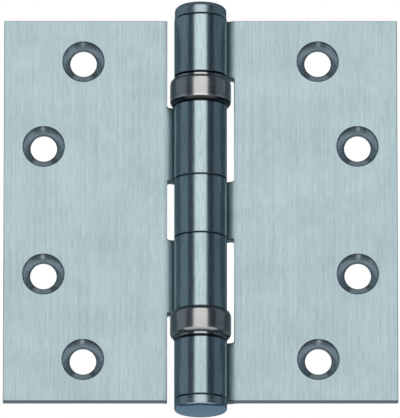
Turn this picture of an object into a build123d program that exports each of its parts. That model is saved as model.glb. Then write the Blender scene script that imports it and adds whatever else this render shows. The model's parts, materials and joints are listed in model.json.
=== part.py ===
from build123d import *
import os
from math import acos, asin, atan2, cos, degrees, pi, radians, sin

# Ball bearing hinge, lying open and flat. Sizes are in millimetres.
# The origin is on the pin's axis at mid-height. +Z runs up the pin to its button head, +X to the frame leaf,
# and the countersunk faces of both leaves look towards -Y.

# Leaves
leaf_height = 114.3
open_width = 114.3
leaf_thickness = 3.4
closed_gap = 1.6  # between the two leaves' faces when the hinge is shut

# Screw holes, placed from the leaf's free edge and from mid-height
screw_hole_diameter = 7.7
countersink_diameter = 12.3
countersink_angle = 82
barrel_side_holes_inset = 23.1
barrel_side_holes_spacing = 89.6
free_side_holes_inset = 11.6
free_side_holes_spacing = 38.4

# Knuckles
door_knuckle_length = 22.1
knuckle_gap = 0.15  # where a frame knuckle runs directly on a door knuckle
seam_gap = 0.15  # between the curl's end and the face that it closes on
swage_radius = 5.0  # of the bend from plate to curl, at mid-thickness
swage_lead = 1.6  # plate left flat between the notch's edge and the bend
notch_clearance = 0.85  # between a bearing case and the notch's edge
notch_corner = 0.4  # left across each inner corner

# Pin and plug
pin_diameter = 8.35
pin_clearance = 0.075  # radial, in every knuckle
pin_point = 1.2  # chamfer at the lower end
head_diameter = 15.0
head_height = 4.1
head_round = 1.8  # round the top of the head
round_steps = 2  # flat bands that the round is turned in
head_chamfer = 0.4  # under the head
plug_height = 3.4
plug_chamfer = 0.9
spigot_length = 7.0
spigot_clearance = 0.02
pin_end_gap = 0.8  # between the pin's point and the plug's spigot

# Bearings
bearing_height = 8.8  # between the two knuckles that it keeps apart
case_overhang = 1.2  # how far the case stands out from the barrel
case_wall = 0.9
case_floor = 3.0  # the balls run on it
case_taper = 1.2  # how far the case draws in where it sits on a knuckle
case_taper_height = 1.4
cover_proud = 1.2  # how far the cover race stands out of the case
cover_clearance = 0.15  # radial, between the cover race and the case
bearing_bore_clearance = 0.4  # radial, between the bearing and the pin
ball_clearance = 0.05  # between a ball and the case or the cover race
ball_pin_clearance = 0.225  # between a ball and the pin
ball_spacing = 0.06  # least room between two balls
ball_rings = 3  # a ball is drawn through few points, because there are many balls
ball_ring_points = 6

# Worked out from the sizes above
bore_radius = pin_diameter / 2 + pin_clearance
barrel_radius = bore_radius + leaf_thickness
curl_radius = (bore_radius + barrel_radius) / 2
leaf_edge = open_width / 2
face_y = closed_gap / 2
middle_y = face_y + leaf_thickness / 2
case_radius = barrel_radius + case_overhang
notch_edge = case_radius + notch_clearance
swage_start = notch_edge + swage_lead

stack_half = leaf_height / 2
frame_knuckle_length = (leaf_height - 2 * (door_knuckle_length + bearing_height + knuckle_gap)) / 3
door_knuckle_start = frame_knuckle_length / 2 + knuckle_gap
door_knuckle_end = door_knuckle_start + door_knuckle_length
frame_knuckles = [
    (-stack_half, frame_knuckle_length - stack_half),
    (-frame_knuckle_length / 2, frame_knuckle_length / 2),
    (stack_half - frame_knuckle_length, stack_half),
]
door_knuckles = [
    (-door_knuckle_end, -door_knuckle_start),
    (door_knuckle_start, door_knuckle_end),
]

# The straight run between the swage and the curl touches both circles
swage_centre = Vector(swage_start, middle_y + swage_radius)
swage_centre_angle = degrees(atan2(swage_centre.Y, swage_centre.X))
run_angle = degrees(acos((curl_radius + swage_radius) / swage_centre.length))
swage_angle = 90 - swage_centre_angle - run_angle
run_normal = Vector(sin(radians(swage_angle)), cos(radians(swage_angle)))
curl_start = 90 - swage_angle
seam_angle = curl_start - degrees(acos(bore_radius / barrel_radius)) - degrees(seam_gap / barrel_radius)
curl_sweep = 360 + seam_angle - curl_start

# Inside a bearing, heights are measured from the knuckle that the case sits on
case_bore = case_radius - case_wall
bearing_bore = pin_diameter / 2 + bearing_bore_clearance
ball_diameter = case_bore - ball_clearance - ball_pin_clearance - pin_diameter / 2
ball_radius = ball_diameter / 2
ball_pitch = case_bore - ball_clearance - ball_radius
ball_level = case_floor + ball_clearance + ball_radius
ball_count = int(pi / asin((ball_diameter + ball_spacing) / (2 * ball_pitch)))
cover_bottom = ball_level + ball_radius + ball_clearance


def strip_side(offset):
    """One side of the leaf's strip, at an offset from mid-thickness: plate, swage, straight run and curl."""
    plate_y = middle_y + offset
    bend = swage_radius - offset
    curl = curl_radius + offset
    return [
        Line((leaf_edge, plate_y), (swage_start, plate_y)),
        CenterArc(swage_centre, bend, -90, -swage_angle),
        Line(swage_centre - run_normal * bend, run_normal * curl),
        CenterArc((0, 0), curl, curl_start, curl_sweep),
    ]


def strip_profile():
    """The rolled strip seen along the pin: front side, back side, free edge and curl end."""
    front = strip_side(-leaf_thickness / 2)
    back = strip_side(leaf_thickness / 2)
    free_edge = Line(front[0] @ 0, back[0] @ 0)
    curl_end = Line(front[-1] @ 1, back[-1] @ 1)
    return make_face(front + back + [free_edge, curl_end])


def notch(bottom, top):
    """The room cut out of a leaf for the other leaf's knuckle."""
    reach = notch_edge + 2 * barrel_radius
    room = Box(reach, 4 * barrel_radius, top - bottom, align=(Align.MAX, Align.CENTER, Align.MIN))
    room = chamfer(room.edges().filter_by(Axis.Y).group_by(Axis.X)[-1], notch_corner)
    return Pos(notch_edge, 0, bottom) * room


def screw_hole(inset, level):
    """One countersunk hole, sunk from the face that looks towards -Y."""
    place = Plane(origin=(leaf_edge - inset, face_y, level), x_dir=(1, 0, 0), z_dir=(0, -1, 0))
    hole = CounterSinkHole(
        screw_hole_diameter / 2,
        countersink_diameter / 2,
        depth=2 * leaf_thickness,
        counter_sink_angle=countersink_angle,
    )
    return place * hole


def leaf(knuckles):
    """A leaf on the +X side that keeps its rolled strip at the given knuckles and is notched between them."""
    solid = extrude(strip_profile(), stack_half, both=True)
    past_end = stack_half + 2 * notch_corner
    tops = [-past_end] + [top for bottom, top in knuckles]
    bottoms = [bottom for bottom, top in knuckles] + [past_end]
    for notch_bottom, notch_top in zip(tops, bottoms):
        if notch_top > -stack_half and notch_bottom < stack_half:
            solid -= notch(notch_bottom, notch_top)
    for side in (-1, 1):
        solid -= screw_hole(barrel_side_holes_inset, side * barrel_side_holes_spacing / 2)
        solid -= screw_hole(free_side_holes_inset, side * free_side_holes_spacing / 2)
    return solid


def turned(outline):
    """A solid turned about the pin's axis from an outline of (radius, height) points."""
    section = make_face(Polyline([(radius, 0, height) for radius, height in outline], close=True))
    return revolve(section, Axis.Z, 360)


def hinge_pin():
    """The pin and its button head in one piece, with the head standing on the top knuckle."""
    pin_radius = pin_diameter / 2
    pin_end = spigot_length + pin_end_gap - leaf_height
    head_radius = head_diameter / 2
    outline = [
        (0, pin_end),
        (pin_radius - pin_point, pin_end),
        (pin_radius, pin_end + pin_point),
        (pin_radius, 0),
        (head_radius - head_chamfer, 0),
        (head_radius, head_chamfer),
    ]
    for step in range(round_steps + 1):
        turn = pi / 2 * step / round_steps
        outline.append((
            head_radius - head_round * (1 - cos(turn)),
            head_height - head_round * (1 - sin(turn)),
        ))
    outline.append((0, head_height))
    return Pos(0, 0, stack_half) * turned(outline)


def bottom_plug():
    """The plug under the lowest knuckle, with a spigot in its bore."""
    spigot_radius = bore_radius - spigot_clearance
    return Pos(0, 0, -stack_half) * turned([
        (0, -plug_height),
        (barrel_radius - plug_chamfer, -plug_height),
        (barrel_radius, plug_chamfer - plug_height),
        (barrel_radius, 0),
        (spigot_radius, 0),
        (spigot_radius, spigot_length),
        (0, spigot_length),
    ])


def bearing_case():
    """The cup: a thick floor with a hole for the pin, and a thin wall open towards the cover race."""
    rim = bearing_height - cover_proud
    return turned([
        (bearing_bore, 0),
        (case_radius - case_taper, 0),
        (case_radius, case_taper_height),
        (case_radius, rim),
        (case_bore, rim),
        (case_bore, case_floor),
        (bearing_bore, case_floor),
    ])


def cover_race():
    """The ring that closes the cup and turns on the balls, against the other leaf's knuckle."""
    cover_radius = case_bore - cover_clearance
    return turned([
        (bearing_bore, cover_bottom),
        (cover_radius, cover_bottom),
        (cover_radius, bearing_height),
        (bearing_bore, bearing_height),
    ])


def ball(number):
    """One ball of the ring, drawn as a convex solid through rings of points on the sphere."""
    points = [(0, 0, -ball_radius), (0, 0, ball_radius)]
    for ring in range(ball_rings):
        latitude = pi * (ring + 1) / (ball_rings + 1) - pi / 2
        for step in range(ball_ring_points):
            longitude = 2 * pi * step / ball_ring_points
            points.append((
                ball_radius * cos(latitude) * cos(longitude),
                ball_radius * cos(latitude) * sin(longitude),
                ball_radius * sin(latitude),
            ))
    return Rot(0, 0, 360 * number / ball_count) * Pos(ball_pitch, 0, ball_level) * ConvexPolyhedron(points)


def bearing():
    """The pieces of one bearing by name, standing on a knuckle at height zero."""
    pieces = {
        "bearing_case": bearing_case(),
        "cover_race": cover_race(),
    }
    for number in range(ball_count):
        pieces[f"ball_{number + 1:02d}"] = ball(number)
    return pieces


# The lower bearing is the upper one turned over
parts = {
    "frame_leaf": leaf(frame_knuckles),
    "door_leaf": mirror(leaf(door_knuckles), about=Plane.YZ),
    "hinge_pin": hinge_pin(),
    "bottom_plug": bottom_plug(),
}
for piece_name, piece in bearing().items():
    placed = Pos(0, 0, door_knuckle_end) * piece
    parts["upper_" + piece_name] = placed
    parts["lower_" + piece_name] = mirror(placed, about=Plane.XY)

os.makedirs("parts", exist_ok=True)
for part_name, part in parts.items():
    export_step(part, f"parts/{part_name}.step")
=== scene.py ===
import json
from math import cos, pi, radians, sin

import bmesh
import bpy
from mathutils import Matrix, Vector

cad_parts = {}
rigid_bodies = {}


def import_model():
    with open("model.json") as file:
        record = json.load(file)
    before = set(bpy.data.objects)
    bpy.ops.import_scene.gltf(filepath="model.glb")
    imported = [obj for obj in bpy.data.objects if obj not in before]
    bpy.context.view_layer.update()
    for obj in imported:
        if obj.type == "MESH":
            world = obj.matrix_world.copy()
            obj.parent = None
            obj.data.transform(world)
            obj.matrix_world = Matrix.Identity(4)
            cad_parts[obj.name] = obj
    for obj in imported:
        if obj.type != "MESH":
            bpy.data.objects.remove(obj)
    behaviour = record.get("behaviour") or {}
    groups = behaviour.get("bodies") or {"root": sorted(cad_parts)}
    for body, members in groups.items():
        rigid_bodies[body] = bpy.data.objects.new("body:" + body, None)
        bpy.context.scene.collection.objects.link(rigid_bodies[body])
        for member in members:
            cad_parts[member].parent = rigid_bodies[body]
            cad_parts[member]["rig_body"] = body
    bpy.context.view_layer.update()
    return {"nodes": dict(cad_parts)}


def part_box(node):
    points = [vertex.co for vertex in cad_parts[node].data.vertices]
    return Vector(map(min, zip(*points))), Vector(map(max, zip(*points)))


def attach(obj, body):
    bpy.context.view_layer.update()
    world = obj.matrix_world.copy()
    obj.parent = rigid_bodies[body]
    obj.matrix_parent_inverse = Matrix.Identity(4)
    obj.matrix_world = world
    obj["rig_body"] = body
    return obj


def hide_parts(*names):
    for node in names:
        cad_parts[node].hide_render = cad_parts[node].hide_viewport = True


# Ball bearing hinge in satin stainless steel, on white. The CAD leaves are shown with softened edges.
# The turned pieces and the balls are made again here with true rounds, to the CAD solids' overall sizes.

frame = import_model()

MM = 0.001  # in metres
leaf_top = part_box("frame_leaf")[1].z / MM

# Sizes of the CAD model that the frame's boxes don't give, in millimetres
pin_radius = 4.175
pin_point = 1.2
spigot_radius = 4.23
bearing_bore = 4.575
case_bore = 7.95
case_floor = 3.0
knuckle_ends = (8.775, 30.95, 39.75, 57.15)  # heights above and below the hinge's middle
seam_place = (7.7, 1.4)  # sideways and back from the pin's axis, where the roll closes on its plate
screw_holes = ((34.05, 44.8), (45.55, 19.2))  # sideways and up from the hinge's middle
screw_hole_radius = 3.85
countersink_radius = 6.15
countersink_bottom = 3.45  # back from the pin's axis

# Rounds and chamfers on the turned pieces, in millimetres
head_round = (1.8, 2.6)  # down the side and inwards
head_chamfer = 0.4
plug_round = 0.9
plug_chamfer = 0.35  # at the joint with the knuckle
case_end_round = (1.1, 1.6)  # inwards and along the wall, where the case sits on a knuckle
case_rim_round = (1.5, 0.75)  # along the wall and inwards, where the case is closed over the cover race
rim_edge = 0.12
race_edge = 0.55
round_steps = 8
turning_steps = 90
crease_angle = 35  # in degrees, from where an edge is left sharp
ball_subdivisions = 3

# Edges of the leaves, in millimetres and degrees
square_edge_round = 0.2
square_edge_angle = 60
countersunk_edge_round = 0.12
countersunk_edge_angle = 35
edge_steps = 4
weld_distance = 0.001
same_plane_angle = 0.1

# Painted shade and other marks on the leaves, in millimetres
joint_reach = 0.4  # of the painted shade on either side of a knuckle's end
joint_fade = (9.5, 10.0)  # sideways from the pin's axis, where the painted shade ends
seam_fade = (0.3, 0.9)  # from the seam, where its shade starts to fade and where it is gone
lower_edge_reach = 0.15
countersink_fade = 0.05  # to either side of the countersink's edge
hole_fade = 0.1  # into the hole below the countersink
roll_fade = (6.3, 7.8)  # sideways from the pin's axis, from the smooth roll to the satin plate

# Camera, in metres and degrees
camera_distance = 4.0
camera_elevation = -15.5
image_height = 0.1212  # of the object's plane, seen from top to bottom of the image
look_at = (-0.00017, 0.0001)  # to the right and up from the pin's middle
sensor_size = 36.0  # in millimetres, on the image's long side
camera_reach = 100.0  # how far it sees

# Studio, in metres
floor_level = -6.5
floor_size = 60.0
board_distance = 1.0
panel_distance = 0.95  # just inside the ceiling
board_columns = 24
board_rows = 12
softbox_place = (0, -0.75, 0.42)
softbox_size = (0.85, 0.5)
softbox_power = 0.25  # in watts

# Look of the leaves. Colours are linear red, green and blue.
plate_dark = (0.345, 0.46, 0.49)
plate_light = (0.56, 0.69, 0.725)
# painted shade at the knuckles' ends, the seam and the plate's lower edge
painted_shade_colour = (0.1, 0.13, 0.15)
# painted shade at the countersinks' edges
countersink_edge_shade = (0.135, 0.16, 0.178)
countersink_middle_colour = (0.44, 0.505, 0.55)
countersink_middle = (0.25, 0.75)  # of the way up the countersink
long_strokes = (1300, 22)  # to a metre, across and along the brushing
short_strokes = (2400, 240)
short_stroke_share = 0.55
cloud_scale = 70.0  # to a metre
cloud_share = 0.2
brushing_range = (0.35, 0.65)  # of the noise, from its darkest to its lightest strokes
seam_shade = 0.5
lower_edge_shade = 0.8
roll_roughness = 0.22
plate_roughness = 0.36
brushing_roughness = 0.03  # more or less than the plate's
countersink_roughness = 0.18
ring_scale = 2600.0  # to a metre
brushing_depth = 0.02  # in millimetres
brushing_strength = 0.12

# Look of the turned pieces
tool_mark_scale = 3200.0  # to a metre
tool_mark_strength = 0.06
tool_mark_depth = 0.01  # in millimetres
patch_scale = 320.0  # to a metre
patch_share = 0.35
turning_range = (0.3, 0.7)  # of the noise, from its darkest to its lightest lines

# Look of all steel
steel_sheen = (0.5, 0.55, 0.58)


# Shapes

def rounded(corners):
    """Points of a closed outline of (radius, height) corners.

    A corner with one or two more numbers is rounded over that much of its two sides.
    """
    points = []
    for place, (radius, height, *reach) in enumerate(corners):
        corner = Vector((radius, height))
        if not reach:
            points.append(corner)
            continue
        back = Vector(corners[place - 1][:2]) - corner
        ahead = Vector(corners[(place + 1) % len(corners)][:2]) - corner
        start = corner + back.normalized() * reach[0]
        end = corner + ahead.normalized() * reach[-1]
        pull = sin(back.angle(ahead) / 2)
        for step in range(round_steps + 1):
            part = step / round_steps
            first = (1 - part) ** 2
            middle = 2 * pull * part * (1 - part)
            last = part ** 2
            points.append((start * first + corner * middle + end * last) / (first + middle + last))
    return points


def add_piece(name, bm, node, material):
    """Links a finished mesh as the piece that stands for a CAD node, on the node's own body."""
    mesh = bpy.data.meshes.new(name)
    bm.to_mesh(mesh)
    bm.free()
    mesh.materials.append(material)
    piece = bpy.data.objects.new(name, mesh)
    bpy.context.scene.collection.objects.link(piece)
    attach(piece, frame["nodes"][node]["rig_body"])
    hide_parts(node)


def turned(name, node, corners, material):
    """A piece turned about the pin's axis from a closed outline of corners in millimetres."""
    bm = bmesh.new()
    rings = []
    for radius, height in rounded(corners):
        count = turning_steps if radius > 0 else 1
        rings.append([
            bm.verts.new((
                radius * MM * cos(2 * pi * step / count),
                radius * MM * sin(2 * pi * step / count),
                height * MM,
            ))
            for step in range(count)
        ])
    for ring, next_ring in zip(rings, rings[1:] + rings[:1]):
        if len(ring) == 1 and len(next_ring) == 1:
            continue
        for step in range(turning_steps):
            face_corners = [
                ring[step % len(ring)],
                ring[(step + 1) % len(ring)],
                next_ring[(step + 1) % len(next_ring)],
                next_ring[step % len(next_ring)],
            ]
            bm.faces.new(list(dict.fromkeys(face_corners)))
    bmesh.ops.recalc_face_normals(bm, faces=bm.faces)
    for face in bm.faces:
        face.smooth = True
    for edge in bm.edges:
        edge.smooth = edge.calc_face_angle() < radians(crease_angle)
    add_piece(name, bm, node, material)


def soften(node, material):
    """Shows a CAD leaf with its flat faces joined up, every sharp edge rounded and smooth curved faces."""
    leaf = frame["nodes"][node]
    weld = leaf.modifiers.new("join_corners", "WELD")
    weld.merge_threshold = weld_distance * MM
    flat = leaf.modifiers.new("join_flat_faces", "DECIMATE")
    flat.decimate_type = "DISSOLVE"
    flat.angle_limit = radians(same_plane_angle)
    for edges, width, steeper_than in (
        ("square", square_edge_round, square_edge_angle),
        ("countersunk", countersunk_edge_round, countersunk_edge_angle),
    ):
        bevel = leaf.modifiers.new("round_" + edges + "_edges", "BEVEL")
        bevel.width = width * MM
        bevel.segments = edge_steps
        bevel.limit_method = "ANGLE"
        bevel.angle_limit = radians(steeper_than)
    leaf.modifiers.new("smooth_curves", "WEIGHTED_NORMAL")
    leaf.data.materials.clear()
    leaf.data.materials.append(material)


# Materials

class NodeMaterial:
    """A material made of nodes."""

    def __init__(self, name):
        self.material = bpy.data.materials.new(name)
        self.material.use_nodes = True
        self.tree = self.material.node_tree

    def feed(self, socket, source):
        """Links a socket to a node's result, or sets it to a value. A colour comes without its alpha."""
        if isinstance(source, bpy.types.NodeSocket):
            self.tree.links.new(source, socket)
        elif socket.type == "RGBA":
            socket.default_value = (*source, 1)
        else:
            socket.default_value = source

    def shade(self, sockets):
        """Feeds the shader's sockets by name."""
        shader = self.tree.nodes["Principled BSDF"]
        for name, source in sockets.items():
            self.feed(shader.inputs[name], source)

    def add(self, kind, *sources, **values):
        """A new node. Values set options or feed sockets by name, and sources feed sockets in order."""
        node = self.tree.nodes.new(kind)
        for key, value in values.items():
            if hasattr(node, key):
                setattr(node, key, value)
            else:
                self.feed(node.inputs[key], value)
        for socket, source in zip(node.inputs, sources):
            self.feed(socket, source)
        return node

    def place(self):
        """The point on the piece, in metres."""
        return self.add("ShaderNodeTexCoord").outputs["Object"]

    def split(self, vector):
        """The three parts of a vector."""
        return self.add("ShaderNodeSeparateXYZ", vector).outputs

    def join(self, x, y):
        """A vector with two parts."""
        return self.add("ShaderNodeCombineXYZ", x, y).outputs["Vector"]

    def noise(self, **values):
        """Noise about a half, between 0 and 1."""
        return self.add("ShaderNodeTexNoise", **values).outputs["Fac"]

    def calculate(self, operation, *values):
        """The result of a sum on one or two numbers."""
        return self.add("ShaderNodeMath", *values, operation=operation).outputs["Value"]

    def spread(self, value, low, high, new_low, new_high):
        """A value moved from one range to another, and held inside it."""
        return self.add("ShaderNodeMapRange", value, low, high, new_low, new_high).outputs["Result"]

    def mix(self, amount, first, second):
        """A number that goes from first to second with an amount between 0 and 1."""
        node = self.add("ShaderNodeMix", data_type="FLOAT", Factor=amount, A=first, B=second)
        return node.outputs["Result"]

    def mix_colours(self, amount, first, second):
        """A colour that goes from first to second with an amount between 0 and 1."""
        node = self.add("ShaderNodeMix", data_type="RGBA", Factor=amount, A=first, B=second)
        return node.outputs["Result"]

    def finish_steel(self, colour, roughness, relief, strength, depth):
        """Bare metal with a fine relief, whose depth is in millimetres."""
        bump = self.add("ShaderNodeBump", Strength=strength, Distance=depth * MM, Height=relief)
        self.shade({
            "Base Color": colour,
            "Metallic": 1.0,
            "Roughness": roughness,
            "Specular Tint": steel_sheen,
            "Normal": bump.outputs["Normal"],
        })
        return self.material


def brushed_leaf_steel(name):
    """Satin plate, brushed along its height, with smooth knuckles, painted shade at the knuckles' ends,
    seam and lower edge, and turned countersinks.
    """
    steel = NodeMaterial(name)
    place = steel.place()
    sideways, depth, level = steel.split(place)
    from_pin = steel.calculate("ABSOLUTE", sideways)
    from_middle = steel.calculate("ABSOLUTE", level)

    def streaks(across, along):
        """Noise drawn out along the height, with this many marks to a metre."""
        stretch = steel.add("ShaderNodeMapping", Vector=place, Scale=(across, across, along))
        return steel.noise(Vector=stretch.outputs["Vector"], Scale=1.0, Detail=3.0, Roughness=0.6)

    def distance(first, second, point):
        """How far two parts of the place are from a point in millimetres."""
        parts = steel.join(first, second)
        flat_point = (point[0] * MM, point[1] * MM, 0)
        return steel.add("ShaderNodeVectorMath", parts, flat_point, operation="DISTANCE").outputs["Value"]

    def near(value, height, reach):
        """1 at a height, and 0 from a reach away from it."""
        apart = steel.calculate("ABSOLUTE", steel.calculate("SUBTRACT", value, height * MM))
        return steel.spread(apart, reach / 2 * MM, reach * MM, 1, 0)

    # Brushing in long and short strokes, with faint clouds
    brushing = steel.mix(short_stroke_share, streaks(*long_strokes), streaks(*short_strokes))
    clouds = steel.noise(Vector=place, Scale=cloud_scale, Detail=2.0)
    grain = steel.spread(steel.mix(cloud_share, brushing, clouds), *brushing_range, 0, 1)
    colour = steel.mix_colours(grain, plate_dark, plate_light)

    # Painted shade darkens the knuckles' ends, the seam and the plate's lower edge
    joints = near(from_middle, knuckle_ends[0], joint_reach)
    for height in knuckle_ends[1:]:
        joints = steel.calculate("MAXIMUM", joints, near(from_middle, height, joint_reach))
    on_barrel = steel.spread(from_pin, joint_fade[0] * MM, joint_fade[1] * MM, 1, 0)
    joints = steel.calculate("MULTIPLY", joints, on_barrel)
    from_seam = distance(from_pin, depth, seam_place)
    seam = steel.spread(from_seam, seam_fade[0] * MM, seam_fade[1] * MM, seam_shade, 0)
    lower_edge = steel.calculate("MULTIPLY", near(level, -leaf_top, lower_edge_reach), lower_edge_shade)
    dark = steel.calculate("MAXIMUM", steel.calculate("MAXIMUM", joints, seam), lower_edge)
    colour = steel.mix_colours(dark, colour, painted_shade_colour)

    # The countersinks have painted shade at their edges, a lighter middle and fine rings
    first_hole, second_hole = (distance(from_pin, from_middle, hole) for hole in screw_holes)
    from_hole = steel.calculate("MINIMUM", first_hole, second_hole)
    inner_edge = (countersink_radius - countersink_fade) * MM
    outer_edge = (countersink_radius + countersink_fade) * MM
    hole_top = countersink_bottom * MM
    in_hole = steel.calculate(
        "MULTIPLY",
        steel.spread(from_hole, inner_edge, outer_edge, 1, 0),
        steel.spread(depth, hole_top, hole_top + hole_fade * MM, 1, 0),
    )
    up_countersink = steel.spread(from_hole, screw_hole_radius * MM, countersink_radius * MM, 0, 1)
    bands = steel.add("ShaderNodeValToRGB", Fac=up_countersink)
    for end in bands.color_ramp.elements:
        end.color = (*countersink_edge_shade, 1)
    for stop in countersink_middle:
        bands.color_ramp.elements.new(stop).color = (*countersink_middle_colour, 1)
    colour = steel.mix_colours(in_hole, colour, bands.outputs["Color"])

    # The knuckles are rolled over a mandrel and come out smoother than the plate
    satin = steel.spread(from_pin, roll_fade[0] * MM, roll_fade[1] * MM, roll_roughness, plate_roughness)
    strokes = steel.spread(brushing, *brushing_range, -brushing_roughness, brushing_roughness)
    roughness = steel.mix(in_hole, steel.calculate("ADD", satin, strokes), countersink_roughness)
    rings = steel.noise(noise_dimensions="1D", W=from_hole, Scale=ring_scale, Detail=2.0)
    relief = steel.mix(in_hole, brushing, rings)
    return steel.finish_steel(colour, roughness, relief, brushing_strength, brushing_depth)


def turned_steel(
    name, dark, light, smooth, dull,
    lines=tool_mark_scale, strength=tool_mark_strength, painted_light_by_tilt=(),
):
    """Lathe-turned steel with fine lines round the pin's axis.

    Its grain runs from dark to light and from smooth to dull. Painted light and shade colours the faces
    that tilt up or, with tilts below zero, down. Each has the tilt where it starts, the tilt where it is
    full, and its colour.
    """
    steel = NodeMaterial(name)
    place = steel.place()
    x, y, level = steel.split(place)
    radius = steel.add("ShaderNodeVectorMath", steel.join(x, y), operation="LENGTH").outputs["Value"]
    section = steel.join(radius, level)
    tool_marks = steel.noise(noise_dimensions="2D", Vector=section, Scale=lines, Detail=3.0)
    patches = steel.noise(Vector=place, Scale=patch_scale, Detail=2.0)
    grain = steel.mix(patch_share, tool_marks, patches)
    colour = steel.mix_colours(steel.spread(grain, *turning_range, 0, 1), dark, light)
    tilt = steel.split(steel.add("ShaderNodeNewGeometry").outputs["Normal"])["Z"]
    # Painted light and shade by how far each face tilts up or down
    for start, full, painted_colour in painted_light_by_tilt:
        colour = steel.mix_colours(steel.spread(tilt, start, full, 0, 1), colour, painted_colour)
    roughness = steel.spread(grain, *turning_range, smooth, dull)
    return steel.finish_steel(colour, roughness, tool_marks, strength, tool_mark_depth)


leaf_steel = brushed_leaf_steel("satin_leaf_steel")
pin_steel = turned_steel(
    "turned_pin_steel",
    dark=(0.4, 0.51, 0.545),
    light=(0.47, 0.59, 0.625),
    smooth=0.25,
    dull=0.32,
)
plug_steel = turned_steel(
    "turned_plug_steel",
    dark=(0.43, 0.54, 0.575),
    light=(0.5, 0.62, 0.655),
    smooth=0.22,
    dull=0.28,
    strength=0.02,
    # painted shade on the faces that look down
    painted_light_by_tilt=[(-0.15, -0.4, (0.15, 0.25, 0.345))],
)
race_shade = (0.1, 0.105, 0.11)
race_steel = turned_steel(
    "ground_race_steel",
    dark=(0.46, 0.49, 0.5),
    light=(0.52, 0.55, 0.56),
    smooth=0.14,
    dull=0.2,
    painted_light_by_tilt=[(-0.15, -0.4, race_shade), (0.15, 0.4, race_shade)],
)
ball_steel = turned_steel(
    "polished_ball_steel",
    dark=(0.66, 0.67, 0.68),
    light=(0.71, 0.72, 0.73),
    smooth=0.05,
    dull=0.09,
    lines=900.0,
    strength=0.02,
)

# The upper case has a painted highlight on its lower lip and painted shade under it. All other rounds on
# the cases have painted shade, duller than the wall.
case_lip_highlight = (0.9, 0.9, 0.9)
case_underside_shade = (0.06, 0.06, 0.065)
case_round_shade = (0.24, 0.24, 0.24)
case_painted_light = {
    "upper": [(-0.05, -0.09, case_lip_highlight), (-0.13, -0.28, case_underside_shade), (0.2, 0.5, case_round_shade)],
    "lower": [(-0.2, -0.5, case_round_shade), (0.2, 0.5, case_round_shade)],
}
case_steel = {
    which: turned_steel(
        which + "_case_steel",
        dark=(0.49, 0.49, 0.485),
        light=(0.57, 0.567, 0.56),
        smooth=0.18,
        dull=0.25,
        painted_light_by_tilt=painted_light_by_tilt,
    )
    for which, painted_light_by_tilt in case_painted_light.items()
}

# Leaves

for leaf_node in ("frame_leaf", "door_leaf"):
    soften(leaf_node, leaf_steel)

# Pin with its button head

pin_low, pin_high = (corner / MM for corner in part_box("hinge_pin"))
head_radius = pin_high.x
turned("pin_with_head", "hinge_pin", [
    (0, pin_low.z),
    (pin_radius - pin_point, pin_low.z),
    (pin_radius, pin_low.z + pin_point),
    (pin_radius, leaf_top),
    (head_radius - head_chamfer, leaf_top),
    (head_radius, leaf_top + head_chamfer),
    (head_radius, pin_high.z, *head_round),
    (0, pin_high.z),
], pin_steel)

# Plug under the lowest knuckle

plug_low, plug_high = (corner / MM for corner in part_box("bottom_plug"))
plug_radius = plug_high.x
turned("plug_with_spigot", "bottom_plug", [
    (0, plug_low.z),
    (plug_radius, plug_low.z, plug_round),
    (plug_radius, -leaf_top - plug_chamfer),
    (plug_radius - plug_chamfer, -leaf_top),
    (spigot_radius, -leaf_top),
    (spigot_radius, plug_high.z),
    (0, plug_high.z),
], plug_steel)


# Bearings

def polished_ball(node):
    """A true sphere of the CAD ball's height, in its place."""
    low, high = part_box(node)
    bm = bmesh.new()
    bmesh.ops.create_icosphere(bm, subdivisions=ball_subdivisions, radius=(high.z - low.z) / 2)
    bmesh.ops.translate(bm, verts=bm.verts, vec=(low + high) / 2)
    for face in bm.faces:
        face.smooth = True
    add_piece(node.replace("ball", "polished_ball"), bm, node, ball_steel)


def bearing(which):
    """The case, cover race and balls of one bearing. Heights run from the knuckle that the case sits on."""
    side = 1 if which == "upper" else -1
    case_low, case_high = (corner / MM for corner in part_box(which + "_bearing_case"))
    cover_low, cover_high = (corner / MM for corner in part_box(which + "_cover_race"))
    seat = min(abs(case_low.z), abs(case_high.z))
    rim = case_high.z - case_low.z
    case_radius = case_high.x
    cover_radius = cover_high.x
    cover_bottom = min(abs(cover_low.z), abs(cover_high.z)) - seat
    cover_top = max(abs(cover_low.z), abs(cover_high.z)) - seat

    def placed(corners):
        return [(radius, side * (seat + height), *reach) for radius, height, *reach in corners]

    turned(which + "_case_cup", which + "_bearing_case", placed([
        (bearing_bore, 0),
        (case_radius, 0, *case_end_round),
        (case_radius, rim, *case_rim_round),
        (case_bore + rim_edge, rim),
        (case_bore, rim - rim_edge),
        (case_bore, case_floor),
        (bearing_bore, case_floor),
    ]), case_steel[which])
    turned(which + "_cover_ring", which + "_cover_race", placed([
        (bearing_bore, cover_bottom),
        (cover_radius - race_edge, cover_bottom),
        (cover_radius, cover_bottom + race_edge),
        (cover_radius, cover_top - race_edge),
        (cover_radius - race_edge, cover_top),
        (bearing_bore, cover_top),
    ]), race_steel)
    for node in sorted(frame["nodes"]):
        if node.startswith(which + "_ball_"):
            polished_ball(node)


bearing("upper")
bearing("lower")


# Floor, boards and lamp

def matt_paint(name, colour):
    """Paint for the floor."""
    paint = NodeMaterial(name)
    paint.shade({"Base Color": colour, "Roughness": 0.9, "Specular IOR Level": 0.1})
    return paint.material


def even_light(name, colour):
    """A surface that is lit the same all over."""
    glow = NodeMaterial(name)
    glow.shade({
        "Base Color": (0, 0, 0),
        "Specular IOR Level": 0,
        "Emission Color": colour,
        "Emission Strength": 1.0,
    })
    return glow.material


def stage_mesh(name, corners, faces, material):
    """Part of the studio, which isn't part of the object."""
    mesh = bpy.data.meshes.new(name)
    mesh.from_pydata(corners, [], faces)
    mesh.materials.append(material)
    thing = bpy.data.objects.new(name, mesh)
    bpy.context.scene.collection.objects.link(thing)
    return thing


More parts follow.
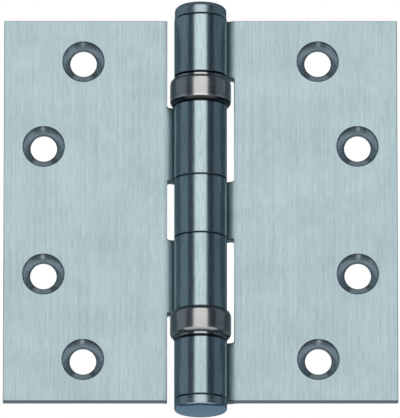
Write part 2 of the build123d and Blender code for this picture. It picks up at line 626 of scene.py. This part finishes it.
def board(name, azimuths, elevations, colour, distance=board_distance):
    """An evenly lit board, curved round the object and seen only in the metal.

    It reaches between two azimuths, in degrees to the right of the front, and two elevations.
    """
    corners = []
    for row in range(board_rows + 1):
        rise = radians(elevations[0] + (elevations[1] - elevations[0]) * row / board_rows)
        for column in range(board_columns + 1):
            turn = radians(azimuths[0] + (azimuths[1] - azimuths[0]) * column / board_columns)
            corners.append((
                distance * cos(rise) * sin(turn),
                -distance * cos(rise) * cos(turn),
                distance * sin(rise),
            ))
    faces = []
    for row in range(board_rows):
        for column in range(board_columns):
            first = row * (board_columns + 1) + column
            above = first + board_columns + 1
            faces.append((first, first + 1, above + 1, above))
    thing = stage_mesh(name, corners, faces, even_light(name, colour))
    thing.visible_camera = False


half = floor_size / 2
floor_plan = ((-half, -half), (half, -half), (half, half), (-half, half))
floor_corners = [(x, y, floor_level) for x, y in floor_plan]
stage_mesh("floor", floor_corners, [(0, 1, 2, 3)], matt_paint("pale_floor", (0.82, 0.83, 0.84)))

board("dark_board_left", (-56, -26.5), (-8, 48), (0.04, 0.056, 0.08))
board("grey_board_left", (-180, -56), (-8, 48), (0.19, 0.235, 0.27))
board("dark_board_right", (26.5, 60), (-8, 48), (0.03, 0.04, 0.06))
board("grey_board_right", (60, 180), (-8, 48), (0.125, 0.16, 0.2))
board("dark_ceiling", (-180, 180), (48, 90), (0.11, 0.13, 0.14))
board("pale_panel", (135, 225), (56, 72), (0.35, 0.4, 0.42), panel_distance)
board("low_board_left", (-115, -65), (-55, -8), (0.09, 0.11, 0.13))
board("low_board_right", (65, 115), (-55, -8), (0.09, 0.11, 0.13))
board("grey_table_front", (-65, 65), (-80, -55), (0.16, 0.19, 0.21))
board("grey_table_back", (65, 295), (-90, -55), (0.09, 0.11, 0.12))

softbox = bpy.data.lights.new("softbox", "AREA")
softbox.shape = "RECTANGLE"
softbox.size, softbox.size_y = softbox_size
softbox.energy = softbox_power
lamp = bpy.data.objects.new("softbox", softbox)
lamp.location = softbox_place
lamp.rotation_euler = (-lamp.location).to_track_quat("-Z", "Y").to_euler()
bpy.context.scene.collection.objects.link(lamp)

# White world, seen by the lens and in the metal between the boards

world = bpy.data.worlds.new("white_studio")
world.use_nodes = True
background = world.node_tree.nodes["Background"]
background.inputs["Color"].default_value = (1, 1, 1, 1)
background.inputs["Strength"].default_value = 1.0
bpy.context.scene.world = world

# Camera: square on, from a little below, with a long lens
# The image is 400 by 418, so its height is the long side

towards = Vector((0, cos(radians(camera_elevation)), -sin(radians(camera_elevation))))
up = Vector((0, sin(radians(camera_elevation)), cos(radians(camera_elevation))))
target = Vector((look_at[0], 0, 0)) + up * look_at[1]
lens = bpy.data.cameras.new("camera")
lens.sensor_width = sensor_size
lens.lens = sensor_size * camera_distance / image_height
lens.clip_end = camera_reach
camera = bpy.data.objects.new("camera", lens)
camera.location = target - towards * camera_distance
camera.rotation_euler = towards.to_track_quat("-Z", "Y").to_euler()
bpy.context.scene.collection.objects.link(camera)
bpy.context.scene.camera = camera
bpy.context.scene.view_settings.view_transform = "Standard"
